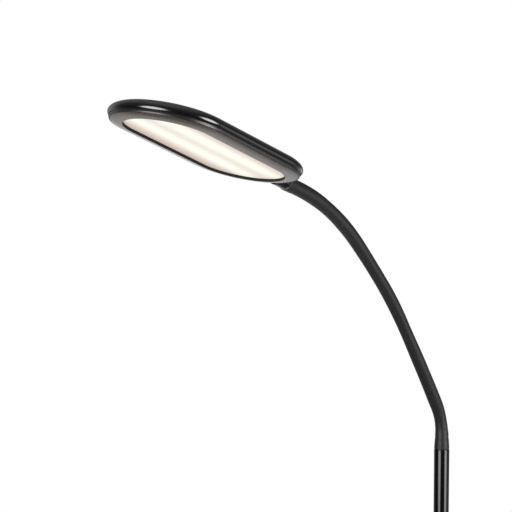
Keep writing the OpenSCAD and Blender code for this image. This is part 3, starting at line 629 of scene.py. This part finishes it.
# %% [markdown]
# ## Gooseneck
#
# Under the neck's matte sleeve is a metal hose that stays where it is bent. In the frame seven stiff sections
# turn in each other; the real sleeve is one smooth tube. One long mesh can't follow eight joints. The sleeve
# is cut where nothing turns, in the middle of each section, and each length is built across one joint, in the
# pose the frame gives.
# The cuts meet ring to ring and don't show.

# %% Centre line of the neck
bends = [j for j in frame["joints"] if j["name"].startswith("bend_")]
bend_places = [Vector(j["pos_m"]) for j in bends]
leans = [0.0]
for a, b in zip(bend_places, bend_places[1:]):
    leans.append(2 * math.atan2(a.x - b.x, b.z - a.z) - leans[-1])
section_turns = [b - a for a, b in zip(leans, leans[1:])]
section_lengths = [(b - a).length * (t / 2) / math.sin(t / 2)
                   for a, b, t in zip(bend_places, bend_places[1:], section_turns)]
bend_along = [sum(section_lengths[:i]) for i in range(len(bends))]


def neck_at(along):
    """(place, lean) of the neck's centre line at a distance in metres past the first bend."""
    i = 0
    while i < len(section_lengths) - 1 and along > bend_along[i + 1]:
        i += 1
    if along <= 0:
        return bend_places[0] + Vector((0, 0, along)), 0.0
    if along >= bend_along[-1]:
        rest = along - bend_along[-1]
        lean = leans[-1]
        return bend_places[-1] + Vector((-math.sin(lean), 0, math.cos(lean))) * rest, lean
    turn = section_turns[i]
    radius = section_lengths[i] / turn
    lean = leans[i] + turn * (along - bend_along[i]) / section_lengths[i]
    start = bend_places[i]
    return Vector((start.x - radius * (math.cos(leans[i]) - math.cos(lean)), 0,
                   start.z + radius * (math.sin(lean) - math.sin(leans[i])))), lean


print("neck:", round(bend_along[-1] / mm), "mm between the first and the last bend, leans",
      [round(math.degrees(v), 1) for v in leans])

# %% Sleeve
# Thickness of the sleeve, as (distance past the pole's top, diameter), in millimetres
sleeve_sizes = [(0, 19.3), (20, 19.3), (32, 17.9), (42, 17.4), (80, 18.7), (145, 18.1), (212, 16.9),
                (265, 17.6), (330, 17.3), (432, 18.5), (480, 18.2), (515, 19.0), (555, 19.1)]
pole_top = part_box("lower_cuff")[0].z
past_top = bend_places[0].z - pole_top


def sleeve_radius(along):
    """Radius of the sleeve in metres, eased between the sizes above."""
    x = (along + past_top) / mm
    for (x0, d0), (x1, d1) in zip(sleeve_sizes, sleeve_sizes[1:]):
        if x <= x1:
            t = min(max((x - x0) / (x1 - x0), 0), 1)
            return (d0 + (d1 - d0) * (1 - math.cos(math.pi * t)) / 2) / 2 * mm
    return sleeve_sizes[-1][1] / 2 * mm


def neck_ring(along, radius, count=48):
    """A ring of points round the neck's centre line."""
    middle, lean = neck_at(along)
    across = Vector((math.cos(lean), 0, math.sin(lean)))
    return [tuple(middle + across * radius * math.cos(t) + Vector((0, 1, 0)) * radius * math.sin(t))
            for t in (2 * math.pi * k / count for k in range(count))]


ring_step = 2.5 * mm
in_lower_cuff = 6 * mm
in_upper_cuff = 20 * mm
middles = [(a + b) / 2 for a, b in zip(bend_along, bend_along[1:])]
cuts = [in_lower_cuff - past_top] + middles + [bend_along[-1] + in_upper_cuff]
for i, (start, end) in enumerate(zip(cuts, cuts[1:])):
    count = max(4, round((end - start) / ring_step))
    stations = [start + (end - start) * k / count for k in range(count + 1)]
    rings = [neck_ring(s, sleeve_radius(s)) for s in stations]
    sleeve = piece(f"neck_sleeve_bend_{i + 1}", rings, "sleeve_rubber", closed=False, caps=True)
    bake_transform(sleeve)
    if i < len(middles):
        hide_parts(f"neck_sleeve_{i + 1}")
print("sleeve:", len(cuts) - 1, "lengths")

# %% [markdown]
# ## Head
#
# The head is one long oval, a stadium: two half circles joined by straight sides. Every moulded piece of it
# is a profile carried round that oval, given as distance from the line between the two centres, and height
# above the opening's edge. A subdivided box could come close, but the formula gives the true bullnose rim,
# which is where the gloss shows every flaw.

# %% Carried round the oval
last_bend = bend_places[-1]
head_lean = leans[-1]
tilt = math.pi / 2 - head_lean
lens_recess, lens_h = 3.7, 2.0
lens_low, lens_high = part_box("lens")
lens_to_bend = Matrix.Rotation(-tilt, 3, "Y") @ (last_bend - (lens_low + lens_high) / 2) / mm
stem_h = lens_to_bend.z + lens_recess + lens_h / 2
lens_r = lens_high.y / mm
lens_l = ((lens_high - lens_low).x / mm - lens_h * math.sin(tilt)) / math.cos(tilt)
half_span = lens_l / 2 - lens_r
head_place = (Matrix.Translation(last_bend) @ Matrix.Rotation(tilt, 4, "Y")
              @ Matrix.Translation((-lens_to_bend.x * mm, 0, -stem_h * mm)))


def oval_stations(arc_count=56, side_count=10):
    """(centre x, outward x, outward y) of each station round the oval, in millimetres."""
    stations = []
    for side in (1, -1):
        for i in range(arc_count + 1):
            t = math.pi * (i / arc_count - side / 2)
            stations.append((side * half_span, math.cos(t), math.sin(t)))
        for i in range(1, side_count):
            x = side * half_span * (1 - 2 * i / side_count)
            stations.append((x, 0.0, float(side)))
    return stations


stations = oval_stations()


def moulded(name, profile, slot, sharp=40):
    """A head piece: a closed profile of (distance, height) in millimetres, carried round the oval."""
    rings = [[((x + d * nx) * mm, d * ny * mm, h * mm) for d, h in profile] for x, nx, ny in stations]
    made = piece(name, rings, slot, head_place, sharp=sharp)
    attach(made, "lamp_head")
    return made


print("oval:", len(stations), "stations, half span", round(half_span, 2), "mm; stem axis", round(stem_h, 2),
      "mm up, last bend", round(lens_to_bend.x, 2), "mm out")

# %% Shell
bezel_out_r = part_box("bezel")[1].y / mm
trim_out_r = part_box("trim_ring")[1].y / mm
rim_out_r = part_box("head_shell")[1].y / mm
groove_w = 0.4
shell_edge_r = trim_out_r + groove_w
rim_a, rim_b, rim_mid = 21.8, 10.9, 11.7
rim_c = rim_out_r - rim_a
shell_wall = 2.0
crown_from = 85
rim_steps, crown_steps = 44, 14


def crown(r, wall):
    """Height of the gently crowned back."""
    t = math.radians(crown_from)
    edge = rim_c + (rim_a - wall) * math.cos(t)
    lean = (rim_b - wall) / (rim_a - wall) / math.tan(t)
    return rim_mid + (rim_b - wall) * math.sin(t) + lean * (edge * edge - r * r) / (2 * edge)


def shell_side(wall):
    """Half section of one side of the shell, from its lower edge to the middle of the back."""
    start = -math.degrees(math.acos((shell_edge_r - rim_c) / (rim_a - wall)))
    side = arc(rim_c, rim_mid, rim_a - wall, rim_b - wall, start, crown_from, rim_steps)
    radii = [rim_c * i / crown_steps for i in range(crown_steps - 1, -1, -1)]
    return side + [(r, crown(r, wall)) for r in radii]


outside, inside = shell_side(0), shell_side(shell_wall)
first = outside[0]
profile = rounded([(first[0], first[1], 0.5)] + outside[2:] + inside[::-1])
shell = moulded("head_shell_cover", profile, "gloss_black_plastic", sharp=50)
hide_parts("head_shell")
print("shell:", round(2 * (half_span + rim_c + rim_a)), "x", round(2 * (rim_c + rim_a)), "mm")


# %% Bezel, trim ring and lens
opening_r = 56.5
bezel_w = bezel_out_r - opening_r
bezel_slope, bezel_curl = 0.1, 0.00039


def bezel_height(r):
    """The bezel's face curves away from the opening's edge."""
    d = r - opening_r
    return bezel_slope * d + bezel_curl * d ** 3


bezel_wall, edge_in, ledge_w, socket_w = 1.6, 0.2, 2.9, 4.5
wall_r, ledge_r, socket_out_r = opening_r - edge_in, opening_r + ledge_w, opening_r + socket_w
rim_h, lens_top = bezel_height(bezel_out_r), lens_recess + lens_h
face_steps = 10
face_radii = [opening_r + bezel_w * i / face_steps for i in range(1, face_steps)]
profile = rounded([(wall_r, lens_recess), (wall_r, 0.0, 0.5)] + [(r, bezel_height(r)) for r in face_radii]
                  + [(bezel_out_r, rim_h, 0.3), (bezel_out_r, rim_h + bezel_wall),
                     (socket_out_r, bezel_height(socket_out_r) + bezel_wall), (socket_out_r, lens_top),
                     (ledge_r, lens_top), (ledge_r, lens_recess)])
bezel = moulded("bezel_ring", profile, "bezel_plastic")
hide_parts("bezel")

trim_in_r, trim_low = bezel_out_r + groove_w, rim_h
trim_round, trim_tuck, trim_below_stem = 2.2, 1.6, 4.2
trim_top = stem_h - trim_below_stem
round_edge = arc(trim_in_r, trim_low + trim_round, trim_out_r - trim_in_r, trim_round, -90, 0, 12)
profile = round_edge + [(trim_out_r, trim_top), (bezel_out_r - trim_tuck, trim_top),
                        (bezel_out_r - trim_tuck, trim_low + bezel_wall), (trim_in_r, trim_low + bezel_wall)]
trim = moulded("trim_edge", profile, "trim_plastic")
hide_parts("trim_ring")

plate = [(0, lens_recess), (lens_r, lens_recess), (lens_r, lens_top), (0, lens_top)]
lens = moulded("lens_plate", plate, "opal_lens")
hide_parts("lens")
print("opening:", 2 * wall_r, "x", round(2 * (wall_r + half_span), 1), "mm, lens", lens_recess, "mm deep")

# %% [markdown]
# ## Cuffs
#
# A short rubber cuff closes the sleeve at each end: a cone that grips the pole's top, and a ring round the
# glossy tube of the head. Both are turned, with a rounded lip that catches a thin line of light. The cone
# has a groove at its foot, and inside it a round socket in which the first length of hose can turn. The ring
# ends in a thin steel edge towards the head.

# %% Lower cuff
cuff_low, cuff_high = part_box("lower_cuff")
low_z, high_z = cuff_low.z / mm, cuff_high.z / mm
lip_r, belly_r, belly_z = 9.95, 10.45, 8
groove_depth, groove_h, foot_gap = 1.2, 0.7, 0.15
groove_r, foot_r = pole_r - groove_depth, pole_r - foot_gap
hose_hole_r = 6.0
socket_r, socket_z = 9.4, bend_places[0].z / mm
socket_top = math.degrees(math.asin((high_z - socket_z) / socket_r))
socket_foot = -math.degrees(math.acos(hose_hole_r / socket_r))
profile = rounded([(hose_hole_r, low_z), (groove_r, low_z), (groove_r, low_z + groove_h),
                   (foot_r, low_z + groove_h, 0.4), (belly_r, low_z + belly_z), (lip_r, high_z, 0.3)]
                  + arc(0, socket_z, socket_r, socket_r, socket_top, socket_foot, 10))
lower_cuff = turned("lower_cuff_cone", profile, "sleeve_rubber")
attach(lower_cuff, "stand")
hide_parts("lower_cuff")
print("lower cuff:", round(high_z - low_z, 1), "mm high")

# %% Upper cuff
cuff_x = 172.0
cuff_l = 18.0
cuff_r, cuff_end_r, cuff_straight = 10.2, 9.9, 3
cuff_hole_r, cuff_seat = 8.0, 10
stem_r = 9.5
ring_w, ring_sink, ring_gap = 0.3, 0.25, 0.05
along_stem = head_place @ Matrix.Translation((0, 0, stem_h * mm)) @ Matrix.Rotation(math.pi / 2, 4, "Y")
profile = rounded([(stem_r, cuff_x), (cuff_r, cuff_x, 0.3), (cuff_r, cuff_x + cuff_straight),
                   (cuff_end_r, cuff_x + cuff_l, 0.5), (cuff_hole_r, cuff_x + cuff_l),
                   (cuff_hole_r, cuff_x + cuff_seat), (stem_r, cuff_x + cuff_seat)])
upper_cuff = turned("upper_cuff_ring", profile, "sleeve_rubber", along_stem)
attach(upper_cuff, "lamp_head")
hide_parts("upper_cuff")
ring_in_r, ring_out_r, ring_x = stem_r + ring_gap, cuff_r - ring_sink, cuff_x - ring_w
ring = [(ring_in_r, ring_x), (ring_out_r, ring_x), (ring_out_r, cuff_x), (ring_in_r, cuff_x)]
end_ring = turned("upper_cuff_end", ring, "turned_steel", along_stem)
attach(end_ring, "lamp_head")
print("upper cuff:", cuff_l, "mm long")

# %% [markdown]
# ## Pieces kept from the frame
#
# The switch's two halves, the buttons, the head's tube, the grommet and the foot pad have the right shape in
# the frame, but their edges are knife sharp and their curved faces are cut into strips. Building them again
# would repeat the frame. A copy with its doubled points merged, smooth shading and a small bevel on each edge
# is enough. The normals are weighted by area, so that the flat faces stay flat to the eye beside the curved
# ones.

# %% Softened copies
def softened(node, name, body, slot, width=0.3, sharp=35):
    """A copy of a frame node with merged points, rounded edges and smooth shading."""
    mesh = frame["nodes"][node].data.copy()
    mesh.materials.clear()
    work = bmesh.new()
    work.from_mesh(mesh)
    bmesh.ops.remove_doubles(work, verts=work.verts, dist=0.003 * mm)
    bmesh.ops.dissolve_limit(work, angle_limit=math.radians(1), verts=work.verts, edges=work.edges)
    work.to_mesh(mesh)
    work.free()
    made = finish_mesh(name, mesh, slot, upright, sharp)
    bevel = made.modifiers.new("bevel", "BEVEL")
    bevel.width = width * mm
    bevel.segments = 3
    bevel.limit_method = "ANGLE"
    bevel.angle_limit = math.radians(sharp)
    even = made.modifiers.new("even_normals", "WEIGHTED_NORMAL")
    even.keep_sharp = True
    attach(made, body)
    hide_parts(node)
    return made


softened("switch_front", "switch_front_half", "stand", "switch_plastic")
softened("switch_back", "switch_back_half", "stand", "switch_plastic")
softened("power_button", "power_button_cap", "power_button", "button_plastic", 0.2)
softened("dimmer_button", "dimmer_button_cap", "dimmer_button", "button_plastic", 0.2)
softened("neck_stem", "neck_stem_tube", "lamp_head", "gloss_black_metal", 0.2)
softened("cord_grommet", "cord_grommet_ring", "stand", "rubber", 0.3)
softened("foot_pad", "foot_pad_disc", "stand", "rubber", 0.5)
print("softened: switch, buttons, stem, grommet and pad")

# %% [markdown]
# ## Floor
#
# The floor is a wide pale disc, flat and plain. The gloss of the lamp doesn't mirror it, because in the
# photograph the light from below comes in patches, and those are part of the room.

# %% Floor
floor_r, floor_sides = 3.0, 96
paper_white = (0.86, 0.86, 0.86)
mesh = bpy.data.meshes.new("floor")
turns = [2 * math.pi * k / floor_sides for k in range(floor_sides)]
edge = [(floor_r * math.cos(t), floor_r * math.sin(t), 0) for t in turns]
mesh.from_pydata(edge, [], [tuple(range(floor_sides))])
floor = bpy.data.objects.new("floor", mesh)
bpy.context.scene.collection.objects.link(floor)
paper = bpy.data.materials.new("white_paper")
paper.use_nodes = True
shader = paper.node_tree.nodes["Principled BSDF"]
shader.inputs["Base Color"].default_value = (*paper_white, 1)
shader.inputs["Roughness"].default_value = 0.9
mesh.materials.append(paper)
floor.visible_glossy = False
print("floor:", floor_r, "m in radius")
